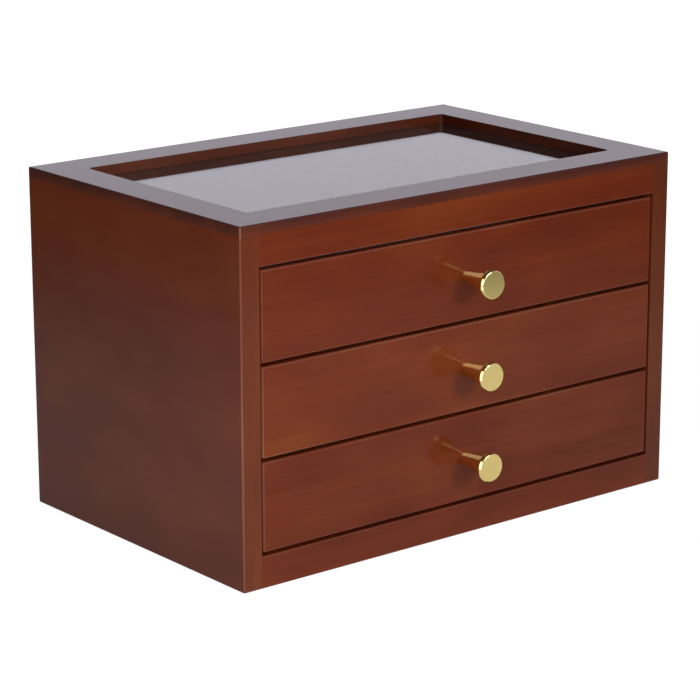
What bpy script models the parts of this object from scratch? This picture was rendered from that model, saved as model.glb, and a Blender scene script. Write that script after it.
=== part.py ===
"""A wooden jewellery box: three inset drawers on side-hung runners, a turned brass knob on each,
and a glass pane under a window in the flat top. Metres, +Z up, the drawers open towards -Y.
The origin is under the middle of the whole object, knobs included."""

import math

import bmesh
import bpy
from mathutils import Vector

# Case
box_width = 0.280
box_depth = 0.180
box_height = 0.180
side_thickness = 0.011
rail_thickness = 0.0125
top_rail_height = 0.0157
bottom_rail_height = 0.0163
base_thickness = 0.006
back_thickness = 0.005
rear_lip = 0.0055
case_edge_radius = 0.0012
glue_gap = 0.0003

# Dowels between the rails and the side panels
dowel_radius = 0.003
dowel_rail_reach = 0.010
dowel_cover = 0.003
dowel_chamfer = 0.0006
dowel_clearance = 0.0003

# Top plate, its window, the glass and the beads that hold it
top_plate_thickness = 0.005
window_corner_radius = 0.002
glass_thickness = 0.002
glass_overlap = 0.005
glass_clearance = 0.0003
bead_width = 0.0102
bead_lip_thickness = 0.004

# Felt pads under the base
pad_radius = 0.006
pad_thickness = 0.001
pad_inset = 0.004
pad_arris = 0.0002

# Drawers
drawer_names = ("bottom", "middle", "top")
drawer_gap = 0.0018
drawer_side_gap = 0.001
drawer_back_clearance = 0.004
front_thickness = 0.012
front_edge_radius = 0.001
front_lap = 0.006
wall_thickness = 0.008
wall_lift = 0.001
wall_drop = 0.004
wall_edge_radius = 0.0008
drawer_back_thickness = 0.006
drawer_bottom_thickness = 0.003
drawer_bottom_lift = 0.003
drawer_bottom_groove = 0.004
lining_thickness = 0.0012

# Runners in the grooves of the drawer sides
runner_height = 0.006
runner_groove_depth = 0.004
runner_groove_stop = 0.004
runner_clearance = 0.0003
runner_tip_clearance = 0.0005

# Knob
knob_length = 0.0200
knob_head_radius = 0.0076
knob_head_thickness = 0.0026
knob_taper_width = 0.0006
knob_taper_depth = 0.0014
knob_neck_top_radius = 0.0056
knob_neck_base_radius = 0.0036
knob_arris = 0.0003
knob_drop = 0.0007

# Knob screw, put in from inside the drawer
screw_radius = 0.002
screw_reach = 0.008
screw_tip_chamfer = 0.0005
screw_clearance = 0.0003
screw_head_radius = 0.0038
screw_head_height = 0.0024
screw_head_crown = 0.0009
screw_head_sink = 0.0006
screw_cross_width = 0.0009
screw_cross_length = 0.0042
screw_cross_depth = 0.0012

# Dividers of the top drawer
divider_thickness = 0.003
divider_height = 0.022
divider_edge_radius = 0.0005
divider_place_shares = {"left": -1 / 6, "right": 1 / 6}

# How far a cutter runs past the face that it opens, and how finely round forms are divided
overrun = 0.002
merge_distance = 0.00001
turn_steps = 40
small_turn_steps = 24
round_segments = 2
corner_segments = 4

# Derived places of the case
case_bottom = pad_thickness + glue_gap
case_top = case_bottom + box_height
plate_bottom = case_top - top_plate_thickness
walls_top = plate_bottom - glue_gap
knob_reach = glue_gap + knob_length
case_front = (knob_reach - box_depth) / 2
case_back = case_front + box_depth
case_side = box_width / 2
inner_side = case_side - side_thickness
inner_back = case_back - back_thickness - glue_gap

# Derived sizes of the window
window_half_width = inner_side - glue_gap - bead_width
window_front = case_front + rail_thickness + glue_gap + bead_width
window_back = case_back - (window_front - case_front)

# Derived sizes of the drawers
opening_bottom = case_bottom + bottom_rail_height
opening_top = walls_top + glue_gap - top_rail_height
front_height = (opening_top - opening_bottom - drawer_gap) / len(drawer_names) - drawer_gap
drawer_half_width = inner_side - drawer_side_gap
drawer_inner_half = drawer_half_width - wall_thickness
drawer_rear = inner_back - drawer_back_clearance
tray_front = case_front + front_thickness
tray_back = drawer_rear - drawer_back_thickness

# Turns that lay a turned piece's axis along +Z, along +X, or out of the front
FACING_UP = (0, 0, 0)
FACING_RIGHT = (0, math.pi / 2, 0)
FACING_FRONT = (math.pi / 2, 0, 0)

# The faces of a box, in the order low then high on X, Y and Z
SIDES = {"left": -1, "right": 1}
FACES = (("left", "right"), ("front", "back"), ("bottom", "top"))
BOX_EDGES = [
    (one, other)
    for axis, pair in enumerate(FACES)
    for later in FACES[axis + 1 :]
    for one in pair
    for other in later
]
UPRIGHT_EDGES = [edge for edge in BOX_EDGES if not set(edge) & set(FACES[2])]


def clear_scene():
    for thing in list(bpy.data.objects):
        bpy.data.objects.remove(thing, do_unlink=True)


def new_collection(name):
    collection = bpy.data.collections.new(name)
    bpy.context.scene.collection.children.link(collection)
    return collection


def new_material(name, colour, roughness, metallic=0.0, alpha=1.0):
    material = bpy.data.materials.new(name)
    material.use_nodes = True
    shader = material.node_tree.nodes["Principled BSDF"]
    shader.inputs["Base Color"].default_value = (*colour, 1.0)
    shader.inputs["Roughness"].default_value = roughness
    shader.inputs["Metallic"].default_value = metallic
    shader.inputs["Alpha"].default_value = alpha
    return material


def place(name, mesh, location, material, parent=None):
    """Puts a mesh in the scene as a piece at a place in the world, under its parent if it has one."""
    piece = bpy.data.objects.new(name, mesh)
    piece.location = Vector(location)
    if parent:
        piece.parent = parent
        piece.location -= parent.location
    if material:
        mesh.materials.append(material)
        pieces.objects.link(piece)
    else:
        cutters.objects.link(piece)
        piece.hide_render = True
        piece.display_type = "WIRE"
    return piece


def board(name, low, high, material, parent=None, rounded=(), radius=0.0, segments=round_segments):
    """A board between two opposite corners. An edge is named by the two faces that meet there."""
    low, high = Vector(low), Vector(high)
    form = bmesh.new()
    bmesh.ops.create_cube(form, size=1)
    weights = form.edges.layers.float.new("bevel_weight_edge")
    chosen = [set(edge) for edge in rounded]
    for edge in form.edges:
        middle = edge.verts[0].co + edge.verts[1].co
        faces = {FACES[axis][middle[axis] > 0] for axis in range(3) if middle[axis]}
        edge[weights] = float(faces in chosen)
    bmesh.ops.scale(form, vec=high - low, verts=form.verts)
    mesh = bpy.data.meshes.new(name)
    form.to_mesh(mesh)
    form.free()
    piece = place(name, mesh, (low + high) / 2, material, parent)
    if rounded:
        rounding = piece.modifiers.new("rounded edges", "BEVEL")
        rounding.limit_method = "WEIGHT"
        rounding.width = radius
        rounding.segments = segments
    return piece


def subtract(piece, cutter):
    hollow = piece.modifiers.new(cutter.name, "BOOLEAN")
    hollow.operation = "DIFFERENCE"
    hollow.solver = "EXACT"
    hollow.object = cutter


def cut_box(piece, purpose, low, high, **rounding):
    subtract(piece, board(f"{piece.name}_{purpose}", low, high, None, piece.parent, **rounding))


def cut_round(piece, purpose, start, end, radius):
    """Drills a round hole from one point to another."""
    start, end = Vector(start), Vector(end)
    form = bmesh.new()
    turn = (end - start).to_track_quat("Z", "Y").to_matrix().to_4x4()
    bmesh.ops.create_cone(
        form,
        cap_ends=True,
        segments=small_turn_steps,
        radius1=radius,
        radius2=radius,
        depth=(end - start).length,
        matrix=turn,
    )
    name = f"{piece.name}_{purpose}"
    mesh = bpy.data.meshes.new(name)
    form.to_mesh(mesh)
    form.free()
    subtract(piece, place(name, mesh, (start + end) / 2, None, piece.parent))


def turned(name, profile, location, turn, material, parent=None, steps=turn_steps):
    """A turned piece. The profile lists (radius, height) from the top of the axis down to its foot."""
    form = bmesh.new()
    points = [form.verts.new((radius, 0, height)) for radius, height in profile]
    for first, second in zip(points, points[1:]):
        form.edges.new((first, second))
    mesh = bpy.data.meshes.new(name)
    form.to_mesh(mesh)
    form.free()
    piece = place(name, mesh, location, material, parent)
    piece.rotation_euler = turn
    lathe = piece.modifiers.new("lathe", "SCREW")
    lathe.axis = "Z"
    lathe.steps = steps
    lathe.render_steps = steps
    lathe.use_merge_vertices = True
    lathe.merge_threshold = merge_distance
    lathe.use_smooth_shade = True
    return piece


def make_side_panel(side):
    """A side of the case, full depth, with a rabbet behind for the back panel."""
    sign = SIDES[side]
    xs = sorted((sign * inner_side, sign * case_side))
    outer_edges = [(side, "front"), (side, "back"), (side, "bottom")]
    outer_edges += [("front", "bottom"), ("back", "bottom")]
    panel = board(
        f"side_panel_{side}",
        (xs[0], case_front, case_bottom),
        (xs[1], case_back, walls_top),
        lacquered_wood,
        rounded=outer_edges,
        radius=case_edge_radius,
    )
    rabbet = sorted((sign * (inner_side - overrun), sign * (case_side - rear_lip)))
    cut_box(
        panel,
        "rabbet",
        (rabbet[0], inner_back, case_bottom - overrun),
        (rabbet[1], case_back + overrun, walls_top + overrun),
    )
    return panel


def make_rails(panels):
    """The rails above and below the drawers, each held by a hidden dowel at either end."""
    heights = {
        "top": (opening_top, walls_top),
        "bottom": (case_bottom, opening_bottom),
    }
    dowel_y = case_front + rail_thickness / 2
    side_reach = side_thickness - dowel_cover
    for level, (low, high) in heights.items():
        rail_end = inner_side - glue_gap
        rail = board(
            f"front_rail_{level}",
            (-rail_end, case_front, low),
            (rail_end, case_front + rail_thickness, high),
            lacquered_wood,
            rounded=[("front", "bottom")] if level == "bottom" else (),
            radius=case_edge_radius,
        )
        dowel_z = (low + high) / 2
        for side, sign in SIDES.items():
            outer = sign * (inner_side + side_reach)
            inner = sign * (inner_side - dowel_rail_reach)
            for piece in (rail, panels[side]):
                cut_round(
                    piece,
                    f"dowel_hole_{level}_{side}",
                    (outer + sign * dowel_clearance, dowel_y, dowel_z),
                    (inner - sign * dowel_clearance, dowel_y, dowel_z),
                    dowel_radius + dowel_clearance,
                )
            half = (side_reach + dowel_rail_reach) / 2
            turned(
                f"rail_dowel_{level}_{side}",
                (
                    (0, half),
                    (dowel_radius - dowel_chamfer, half),
                    (dowel_radius, half - dowel_chamfer),
                    (dowel_radius, dowel_chamfer - half),
                    (dowel_radius - dowel_chamfer, -half),
                    (0, -half),
                ),
                ((outer + inner) / 2, dowel_y, dowel_z),
                FACING_RIGHT,
                plain_wood,
                steps=small_turn_steps,
            )


def make_back_and_base():
    back_half = case_side - rear_lip - glue_gap
    board(
        "back_panel",
        (-back_half, case_back - back_thickness, case_bottom),
        (back_half, case_back, walls_top),
        lacquered_wood,
        rounded=[("back", "bottom")],
        radius=case_edge_radius,
    )
    base_half = inner_side - glue_gap
    board(
        "base_board",
        (-base_half, case_front + rail_thickness + glue_gap, case_bottom),
        (base_half, inner_back - glue_gap, case_bottom + base_thickness),
        plain_wood,
    )
    pad_x = inner_side - pad_inset - pad_radius
    pad_ys = {
        "front": case_front + rail_thickness + pad_inset + pad_radius,
        "back": inner_back - pad_inset - pad_radius,
    }
    for end, pad_y in pad_ys.items():
        for side, sign in SIDES.items():
            turned(
                f"foot_pad_{end}_{side}",
                (
                    (0, pad_thickness),
                    (pad_radius - pad_arris, pad_thickness),
                    (pad_radius, pad_thickness - pad_arris),
                    (pad_radius, 0),
                    (0, 0),
                ),
                (sign * pad_x, pad_y, 0),
                FACING_UP,
                felt,
                steps=small_turn_steps,
            )


def make_top():
    """The top plate with its window, and the glass held under it by four rabbeted beads."""
    plate = board(
        "top_frame",
        (-case_side, case_front, plate_bottom),
        (case_side, case_back, case_top),
        lacquered_wood,
        rounded=UPRIGHT_EDGES + [(face, "top") for face in FACES[0] + FACES[1]],
        radius=case_edge_radius,
    )
    cut_box(
        plate,
        "window",
        (-window_half_width, window_front, plate_bottom - overrun),
        (window_half_width, window_back, case_top + overrun),
        rounded=UPRIGHT_EDGES,
        radius=window_corner_radius,
        segments=corner_segments,
    )
    glass_top = plate_bottom - glue_gap
    glass_bottom = glass_top - glass_thickness
    glass_half_width = window_half_width + glass_overlap
    board(
        "glass_pane",
        (-glass_half_width, window_front - glass_overlap, glass_bottom),
        (glass_half_width, window_back + glass_overlap, glass_top),
        clear_glass,
    )
    ledge = glass_bottom - glass_clearance
    bead_bottom = ledge - bead_lip_thickness
    bead_end = window_half_width + bead_width
    rabbet = glass_overlap + glass_clearance
    for end, edge, way in (("front", window_front, -1), ("back", window_back, 1)):
        ys = sorted((edge, edge + way * bead_width))
        bead = board(
            f"glazing_bead_{end}",
            (-bead_end, ys[0], bead_bottom),
            (bead_end, ys[1], glass_top),
            plain_wood,
        )
        cut = sorted((edge - way * overrun, edge + way * rabbet))
        cut_box(
            bead,
            "glass_rabbet",
            (-bead_end - overrun, cut[0], ledge),
            (bead_end + overrun, cut[1], glass_top + overrun),
        )
    for side, sign in SIDES.items():
        xs = sorted((sign * window_half_width, sign * bead_end))
        bead = board(
            f"glazing_bead_{side}",
            (xs[0], window_front + glue_gap, bead_bottom),
            (xs[1], window_back - glue_gap, glass_top),
            plain_wood,
        )
        cut = sorted((sign * (window_half_width - overrun), sign * (window_half_width + rabbet)))
        cut_box(
            bead,
            "glass_rabbet",
            (cut[0], window_front - overrun, ledge),
            (cut[1], window_back + overrun, glass_top + overrun),
        )


def make_drawer_box(level, slide, front_bottom):
    """The wooden box of one drawer. Its sides lap into the front and ride on the runners."""
    name = f"drawer_{level}"
    front_top = front_bottom + front_height
    wall_bottom = front_bottom + wall_lift
    wall_top = front_top - wall_drop
    floor_bottom = wall_bottom + drawer_bottom_lift
    floor_top = floor_bottom + drawer_bottom_thickness
    groove_low = floor_bottom - glue_gap
    groove_high = floor_top + glue_gap
    groove_half = drawer_inner_half + drawer_bottom_groove
    lap_y = tray_front - front_lap
    runner_low = (wall_bottom + wall_top - runner_height) / 2
    runner_high = runner_low + runner_height
    stop_y = tray_front + runner_groove_stop

    front = board(
        f"{name}_front",
        (-drawer_half_width, case_front, front_bottom),
        (drawer_half_width, tray_front, front_top),
        lacquered_wood,
        slide,
        rounded=[edge for edge in BOX_EDGES if "back" not in edge],
        radius=front_edge_radius,
    )
    cut_box(
        front,
        "floor_groove",
        (-groove_half, tray_front - drawer_bottom_groove, groove_low),
        (groove_half, tray_front + overrun, groove_high),
    )
    for side, sign in SIDES.items():
        lap = sorted((sign * (drawer_inner_half - glue_gap), sign * (drawer_half_width + overrun)))
        cut_box(
            front,
            f"lap_{side}",
            (lap[0], lap_y, front_bottom - overrun),
            (lap[1], tray_front + overrun, front_top + overrun),
        )
        xs = sorted((sign * drawer_inner_half, sign * drawer_half_width))
        wall = board(
            f"{name}_side_{side}",
            (xs[0], lap_y + glue_gap, wall_bottom),
            (xs[1], drawer_rear, wall_top),
            plain_wood,
            slide,
            rounded=[("left", "top"), ("right", "top")],
            radius=wall_edge_radius,
        )
        groove = sorted((sign * (drawer_inner_half - overrun), sign * groove_half))
        cut_box(
            wall,
            "floor_groove",
            (groove[0], lap_y - overrun, groove_low),
            (groove[1], drawer_rear + overrun, groove_high),
        )
        groove_floor = drawer_half_width - runner_groove_depth
        groove = sorted((sign * groove_floor, sign * (drawer_half_width + overrun)))
        cut_box(
            wall,
            "runner_groove",
            (groove[0], stop_y, runner_low - runner_clearance),
            (groove[1], drawer_rear + overrun, runner_high + runner_clearance),
        )
        xs = sorted((sign * (inner_side - glue_gap), sign * (groove_floor + runner_tip_clearance)))
        board(
            f"runner_{level}_{side}",
            (xs[0], stop_y + runner_clearance, runner_low),
            (xs[1], inner_back - glue_gap, runner_high),
            plain_wood,
        )
    board(
        f"{name}_back",
        (-drawer_inner_half + glue_gap, tray_back, floor_top + glue_gap),
        (drawer_inner_half - glue_gap, drawer_rear, wall_top),
        plain_wood,
        slide,
        rounded=[("front", "top"), ("back", "top")],
        radius=wall_edge_radius,
    )
    board(
        f"{name}_bottom",
        (-groove_half + glue_gap, tray_front - drawer_bottom_groove + glue_gap, floor_bottom),
        (groove_half - glue_gap, drawer_rear, floor_top),
        plywood,
        slide,
    )
    lining_bottom = floor_top + glue_gap
    board(
        f"{name}_lining",
        (-drawer_inner_half + glue_gap, tray_front + glue_gap, lining_bottom),
        (drawer_inner_half - glue_gap, tray_back - glue_gap, lining_bottom + lining_thickness),
        flocked_card,
        slide,
    )
    return front, lining_bottom + lining_thickness + glue_gap


def make_knob(level, slide, front, knob_z):
    """A turned knob, and the screw that pulls it against the drawer front from inside."""
    head_seat = tray_front - screw_head_height - screw_head_sink
    hole_radius = screw_radius + screw_clearance
    knob_foot = case_front - glue_gap
    screw_tip = head_seat - knob_foot + screw_reach
    hole_end = screw_reach + screw_clearance
    head_bottom = knob_length - knob_head_thickness
    turned(
        f"drawer_{level}_knob",
        (
            (0, knob_length),
            (knob_head_radius - knob_taper_width, knob_length),
            (knob_head_radius, knob_length - knob_taper_depth),
            (knob_head_radius, head_bottom + knob_arris),
            (knob_head_radius - knob_arris, head_bottom),
            (knob_neck_top_radius, head_bottom - knob_arris),
            (knob_neck_base_radius, knob_arris),
            (knob_neck_base_radius - knob_arris, 0),
            (hole_radius, 0),
            (hole_radius, hole_end),
            (0, hole_end),
        ),
        (0, knob_foot, knob_z),
        FACING_FRONT,
        polished_brass,
        slide,
    )
    cut_round(
        front,
        "screw_hole",
        (0, case_front - overrun, knob_z),
        (0, tray_front + overrun, knob_z),
        hole_radius,
    )
    cut_round(
        front,
        "screw_head_bore",
        (0, head_seat, knob_z),
        (0, tray_front + overrun, knob_z),
        screw_head_radius + screw_clearance,
    )
    head_edge = screw_head_crown - screw_head_height
    screw = turned(
        f"drawer_{level}_knob_screw",
        (
            (0, screw_tip),
            (screw_radius - screw_tip_chamfer, screw_tip),
            (screw_radius, screw_tip - screw_tip_chamfer),
            (screw_radius, -screw_clearance),
            (screw_head_radius, -screw_clearance),
            (screw_head_radius, head_edge),
            (screw_head_radius - screw_head_crown, -screw_head_height),
            (0, -screw_head_height),
        ),
        (0, head_seat, knob_z),
        FACING_FRONT,
        zinc_steel,
        slide,
        small_turn_steps,
    )
    head_end = head_seat + screw_head_height
    for purpose, half_x, half_z in (
        ("cross_level", screw_cross_length / 2, screw_cross_width / 2),
        ("cross_upright", screw_cross_width / 2, screw_cross_length / 2),
    ):
        cut_box(
            screw,
            purpose,
            (-half_x, head_end - screw_cross_depth, knob_z - half_z),
            (half_x, head_end + overrun, knob_z + half_z),
        )


def make_dividers(slide, floor):
    """One long divider and two cross ones, half-lapped where they meet."""
    top = floor + divider_height
    lap = (floor + top) / 2
    half = divider_thickness / 2
    middle = (tray_front + tray_back) / 2
    end = drawer_inner_half - glue_gap
    top_edges = [("front", "top"), ("back", "top"), ("left", "top"), ("right", "top")]
    long_divider = board(
        "divider_long",
        (-end, middle - half, floor),
        (end, middle + half, top),
        flocked_card,
        slide,
        rounded=top_edges[:2],
        radius=divider_edge_radius,
    )
    for side, share in divider_place_shares.items():
        x = share * 2 * drawer_inner_half
        cross = board(
            f"divider_cross_{side}",
            (x - half, tray_front + glue_gap, floor),
            (x + half, tray_back - glue_gap, top),
            flocked_card,
            slide,
            rounded=top_edges[2:],
            radius=divider_edge_radius,
        )
        slot = half + glue_gap
        cut_box(
            cross,
            "slot",
            (x - half - overrun, middle - slot, floor - overrun),
            (x + half + overrun, middle + slot, lap + glue_gap / 2),
        )
        cut_box(
            long_divider,
            f"slot_{side}",
            (x - slot, middle - half - overrun, lap - glue_gap / 2),
            (x + slot, middle + half + overrun, top + overrun),
        )


def make_drawers():
    for index, level in enumerate(drawer_names):
        front_bottom = opening_bottom + drawer_gap + index * (front_height + drawer_gap)
        knob_z = front_bottom + front_height / 2 - knob_drop
        slide = bpy.data.objects.new(f"drawer_{level}_slide", None)
        slide.location = (0, case_front, knob_z)
        pieces.objects.link(slide)
        front, floor = make_drawer_box(level, slide, front_bottom)
        make_knob(level, slide, front, knob_z)
        if level == "top":
            make_dividers(slide, floor)


clear_scene()
pieces = new_collection("jewellery_box")
cutters = new_collection("cutters")
cutters.hide_render = True

lacquered_wood = new_material("lacquered_wood", (0.165, 0.036, 0.018), 0.28)
plain_wood = new_material("plain_wood", (0.120, 0.032, 0.018), 0.55)
plywood = new_material("plywood", (0.150, 0.045, 0.025), 0.60)
clear_glass = new_material("clear_glass", (0.80, 0.85, 0.85), 0.03, alpha=0.35)
polished_brass = new_material("polished_brass", (0.78, 0.55, 0.20), 0.18, metallic=1.0)
zinc_steel = new_material("zinc_steel", (0.55, 0.54, 0.52), 0.35, metallic=1.0)
flocked_card = new_material("flocked_card", (0.018, 0.018, 0.020), 0.95)
felt = new_material("felt", (0.030, 0.028, 0.027), 0.95)

side_panels = {side: make_side_panel(side) for side in SIDES}
make_rails(side_panels)
make_back_and_base()
make_top()
make_drawers()
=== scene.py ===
# %% [markdown]
# # A lacquered jewellery box with three drawers
#
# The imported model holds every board, runner and screw of a small wooden
# jewellery box at its real size and place. This lesson dresses it. Boards that
# show are modelled again with finely rounded edges, the turned knobs get their
# small chamfers, and every piece gets the finish that it has on the real box.
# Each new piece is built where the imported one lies, so nothing is fitted later.

import math

import bmesh
import bpy
from mathutils import Matrix, Vector


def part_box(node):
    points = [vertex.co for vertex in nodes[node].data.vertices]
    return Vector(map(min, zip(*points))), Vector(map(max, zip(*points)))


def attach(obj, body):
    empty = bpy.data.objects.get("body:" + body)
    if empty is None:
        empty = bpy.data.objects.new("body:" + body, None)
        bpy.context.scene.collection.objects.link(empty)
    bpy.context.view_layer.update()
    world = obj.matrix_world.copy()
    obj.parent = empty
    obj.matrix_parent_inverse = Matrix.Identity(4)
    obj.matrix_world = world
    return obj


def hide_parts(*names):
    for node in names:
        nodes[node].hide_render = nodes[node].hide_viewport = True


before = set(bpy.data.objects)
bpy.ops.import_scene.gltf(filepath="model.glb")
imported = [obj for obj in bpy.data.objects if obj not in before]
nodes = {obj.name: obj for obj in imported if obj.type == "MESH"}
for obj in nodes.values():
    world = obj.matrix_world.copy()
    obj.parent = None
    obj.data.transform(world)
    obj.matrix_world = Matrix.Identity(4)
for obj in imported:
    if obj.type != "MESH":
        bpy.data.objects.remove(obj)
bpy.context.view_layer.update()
print("Packed pieces:", len(nodes))

# %% [markdown]
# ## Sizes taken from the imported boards
#
# If a board changes there, the dressed one follows. Only sizes that the packed
# model doesn't show, such as a corner's radius, are written here, in metres.

# %% Read the sizes
plate_low, plate_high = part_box("top_frame")
panel_low, panel_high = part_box("side_panel_right")
back_low, back_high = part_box("back_panel")
rail_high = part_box("front_rail_bottom")[1]
case_front, case_back = plate_low.y, plate_high.y
case_side, case_top = plate_high.x, plate_high.z
case_bottom, walls_top = panel_low.z, panel_high.z
inner_side = panel_low.x
window_half_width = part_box("glazing_bead_right")[0].x
window_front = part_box("glazing_bead_front")[1].y
window_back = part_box("glazing_bead_back")[0].y
glue_gap = plate_low.z - walls_top
drawer_levels = ("bottom", "middle", "top")

case_edge_radius = 0.0008
front_edge_radius = 0.0010
inner_edge_radius = 0.0005
window_corner_radius = 0.0020
window_ease = 0.0005
overrun = 0.002
case_size = (2 * case_side, case_back - case_front, case_top - case_bottom)
print("Case:", [round(1000 * size, 1) for size in case_size], "mm")

# %% [markdown]
# ## The camera
#
# The camera and the box were fitted together to the straight edges of the
# photograph: a long lens about a metre and a half away, turned a little past
# the left corner and fifteen degrees above the table. The lens looks at a point
# given by how far it lies to the right of the box's foot and above it, as the
# camera sees them.

# %% Place the camera
photo_azimuth = math.radians(-38.993)
photo_elevation = math.radians(15.378)
photo_roll = math.radians(-0.087)
camera_distance = 1.4774
camera_lens = 142.41
aim_right = -0.00150
aim_up = 0.07493

back = Vector((
    math.sin(photo_azimuth) * math.cos(photo_elevation),
    -math.cos(photo_azimuth) * math.cos(photo_elevation),
    math.sin(photo_elevation),
))
level = Vector((0, 0, 1)).cross(back).normalized()
right = Matrix.Rotation(photo_roll, 3, back) @ level
up = back.cross(right)
box_foot = Vector((0, (case_front + case_back) / 2, case_bottom))
camera = bpy.data.objects.new("camera", bpy.data.cameras.new("camera"))
bpy.context.scene.collection.objects.link(camera)
camera.data.lens = camera_lens
camera.location = box_foot + aim_right * right + aim_up * up + camera_distance * back
camera.rotation_euler = Matrix((right, up, back)).transposed().to_euler()
bpy.context.scene.camera = camera
bpy.context.scene.view_settings.view_transform = "Standard"
print("Camera at", [round(x, 3) for x in camera.location])

# %% [markdown]
# ## Helpers for shader nodes
#
# Every finish below is a small tree of shader nodes. One helper adds a node,
# sets what it needs and joins its inputs, so that a finish reads as a list of
# steps and not as a page of wiring. The others are the steps that most finishes
# share: arithmetic, noise, a slope from one level to another, a blend of two
# colours, and relief from a pattern.

# %% Add and join shader nodes
def add(tree, kind, inputs=None, **settings):
    """Adds a node. An input takes a plain value, or the output that feeds it."""
    node = tree.nodes.new(kind)
    for setting, value in settings.items():
        setattr(node, setting, value)
    for socket, value in (inputs or {}).items():
        if isinstance(value, bpy.types.NodeSocket):
            tree.links.new(value, node.inputs[socket])
        else:
            node.inputs[socket].default_value = value
    return node


def new_finish(name, roughness, metallic=0.0):
    """A material, its node tree and the shader that ends it."""
    material = bpy.data.materials.new(name)
    material.use_nodes = True
    shader = material.node_tree.nodes["Principled BSDF"]
    shader.inputs["Roughness"].default_value = roughness
    shader.inputs["Metallic"].default_value = metallic
    return material, material.node_tree, shader


def combine(tree, operation, first, second, third=0.0):
    """The output of one arithmetic step."""
    values = {0: first, 1: second, 2: third}
    return add(tree, "ShaderNodeMath", values, operation=operation).outputs[0]


def multiply(tree, first, second):
    """The product of two values."""
    return combine(tree, "MULTIPLY", first, second)


def noise(tree, place, scale, detail):
    """Soft noise with this many lumps to the metre."""
    settings = {"Vector": place, "Scale": scale, "Detail": detail}
    return add(tree, "ShaderNodeTexNoise", settings).outputs["Fac"]


def slope(tree, value, start, end, first, last, interpolation="LINEAR"):
    """A change from the first level to the last as the value goes from start to end."""
    settings = {"Value": value, "From Min": start, "From Max": end, "To Min": first, "To Max": last}
    return add(tree, "ShaderNodeMapRange", settings, interpolation_type=interpolation).outputs[0]


def fade(tree, value, start, end, first, last):
    """The same change with a soft start and end."""
    return slope(tree, value, start, end, first, last, "SMOOTHSTEP")


def blend(tree, share, first, second):
    """A colour that goes from the first to the second as the share goes from 0 to 1."""
    values = {"Factor": share, "A": first, "B": second}
    return add(tree, "ShaderNodeMix", values, data_type="RGBA").outputs["Result"]


def raise_relief(tree, shader, pattern, strength, height):
    """Lets a pattern shape the light on a surface, as if it stood up by a height."""
    settings = {"Strength": strength, "Distance": height, "Height": pattern}
    bump = add(tree, "ShaderNodeBump", settings)
    tree.links.new(bump.outputs["Normal"], shader.inputs["Normal"])


shader_helpers = (add, new_finish, combine, multiply, noise, slope, fade, blend, raise_relief)
print("Helpers:", ", ".join(helper.__name__ for helper in shader_helpers))

# %% [markdown]
# ## The studio
#
# The box stands on a small white table in soft light. The camera sees the table
# and the room as plain white, and the lacquer, the glass and the knobs mirror
# more of it. Light Path tells the two apart. It gives one switch for what the
# camera sees straight on, and one for what a gloss or the glass sends on to it.
# A ray that has already met a dull surface sets off neither.

# %% Tell the rays apart
def seen_directly(tree):
    """Two switches: 1 for camera rays, and 1 for rays that a gloss or glass sends on."""
    path = add(tree, "ShaderNodeLightPath").outputs
    glossy = combine(tree, "MAXIMUM", path["Is Glossy Ray"], path["Is Transmission Ray"])
    no_dull_surface = combine(tree, "LESS_THAN", path["Diffuse Depth"], 0.5)
    return path["Is Camera Ray"], multiply(tree, glossy, no_dull_surface)


print("Switches: camera, mirror")

# %% [markdown]
# ## The table
#
# To the camera the table is plain white, with a faint shadow under the box. In
# reflections it glows, bright close by and falling away to a dark room, and a
# pool of light is painted into that glow left of the box. That is why rounded
# edges that are turned to the pool shine: they reflect this painted light. The
# floor is part paper, which takes the shadow, and part glow, which keeps it
# evenly bright.

# %% Make the floor
floor_size = 8.0
table_albedo = 0.80
table_reach = 0.36
table_end = 0.87
far_table = 0.16
table_glow = 0.84
mirrored_glow_share = 0.5
# A painted pool of light in the floor's glow, seen only in reflections: its centre, radii and
# brightness
pool_centre = (-0.42, -0.10, 0)
pool_radii = (0.14, 0.25)
painted_pool_glow = 2.0
shadow_share = 0.18
near_white = 1.18
far_white = 1.25
white_reach = (0.30, 0.90)


def make_floor():
    form = bmesh.new()
    bmesh.ops.create_grid(form, x_segments=4, y_segments=4, size=floor_size / 2)
    mesh = bpy.data.meshes.new("floor")
    form.to_mesh(mesh)
    form.free()
    floor = bpy.data.objects.new("floor", mesh)
    bpy.context.scene.collection.objects.link(floor)
    material, tree, shader = new_finish("pale_floor", 0.9)
    camera_ray, mirror_ray = seen_directly(tree)
    place = add(tree, "ShaderNodeTexCoord").outputs["Object"]
    distance = add(tree, "ShaderNodeVectorMath", {0: place}, operation="LENGTH").outputs["Value"]
    reach = fade(tree, distance, table_reach, table_end, 1, far_table)
    mirrored = multiply(tree, mirror_ray, multiply(tree, reach, mirrored_glow_share))
    unmirrored = combine(tree, "SUBTRACT", mirror_ray, mirrored)
    taken = combine(tree, "MULTIPLY_ADD", camera_ray, 1 - shadow_share, unmirrored)
    paper = multiply(tree, combine(tree, "SUBTRACT", 1, taken), table_albedo)
    # The painted pool of light, which only reflected rays see
    ends = {0: place, 1: pool_centre}
    from_pool = add(tree, "ShaderNodeVectorMath", ends, operation="DISTANCE").outputs["Value"]
    pool = multiply(tree, mirror_ray, fade(tree, from_pool, *pool_radii, painted_pool_glow, 0))
    shining = combine(tree, "MULTIPLY_ADD", mirrored, table_glow, pool)
    white = fade(tree, distance, *white_reach, near_white, far_white)
    white = multiply(tree, white, 1 - shadow_share)
    shining = combine(tree, "MULTIPLY_ADD", camera_ray, white, shining)
    diffuse = add(tree, "ShaderNodeBsdfDiffuse", {"Color": paper})
    glow = add(tree, "ShaderNodeEmission", {"Strength": shining})
    whole = add(tree, "ShaderNodeAddShader", {0: diffuse.outputs[0], 1: glow.outputs[0]})
    tree.nodes.remove(shader)
    tree.links.new(whole.outputs[0], tree.nodes["Material Output"].inputs["Surface"])
    mesh.materials.append(material)


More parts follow.
